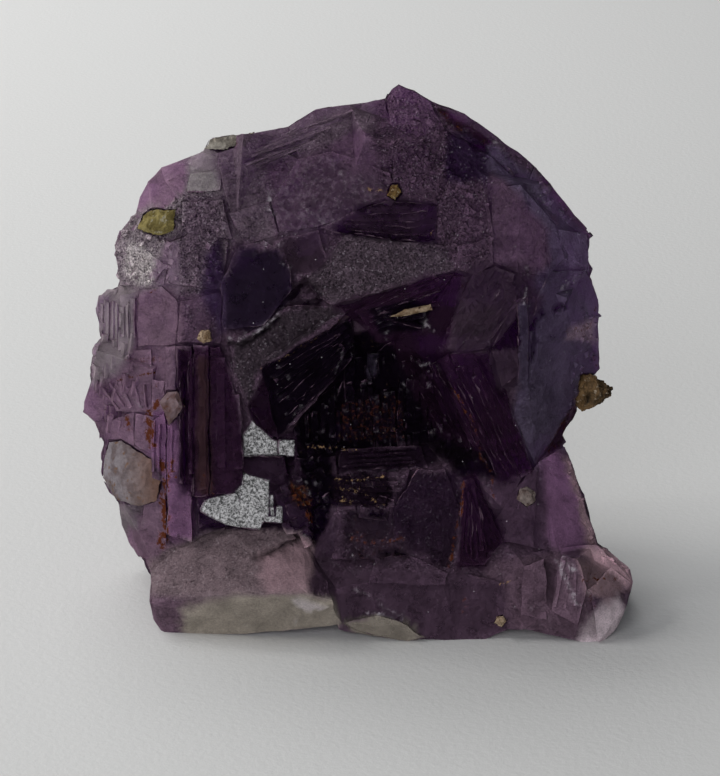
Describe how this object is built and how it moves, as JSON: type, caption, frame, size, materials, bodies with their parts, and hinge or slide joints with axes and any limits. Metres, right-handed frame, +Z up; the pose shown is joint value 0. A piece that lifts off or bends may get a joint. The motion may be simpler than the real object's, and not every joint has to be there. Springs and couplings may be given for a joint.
{
  "type": "fluorite cluster",
  "caption": "Hand specimen of intergrown purple fluorite: a domed mass of stepped cube crystals with lodged calcite and earthy grains, standing on a flat base.",
  "frame": {"origin": "middle of the bounding box's bottom, on the plane that the stone rests on", "axes": "+X to the right seen from the front, +Y from the front to the back, +Z up"},
  "size_m": [0.0832, 0.0476, 0.0773],
  "materials": {
    "fluorite": "dark purple, translucent, satin to frosted faces with iron stains",
    "calcite": "pinkish beige, slightly translucent, cleaved",
    "brown_rock": "matt brown, rough",
    "yellow_mineral": "matt yellow, granular",
    "pale_mineral": "whitish, granular",
    "tan_earth": "matt tan, earthy",
    "ochre_earth": "matt ochre, earthy",
    "crust_earth": "matt grey beige, earthy"
  },
  "bodies": {
    "root": {"fluorite_mass": "fluorite", "calcite_block": "calcite", "calcite_chip": "calcite", "brown_knob": "brown_rock", "yellow_grain": "yellow_mineral", "pale_grain": "pale_mineral", "tan_sliver": "tan_earth", "tan_crumb_left": "tan_earth", "tan_crumb_low": "tan_earth", "ochre_crumb": "ochre_earth", "tan_crust": "crust_earth"}
  },
  "joints": []
}
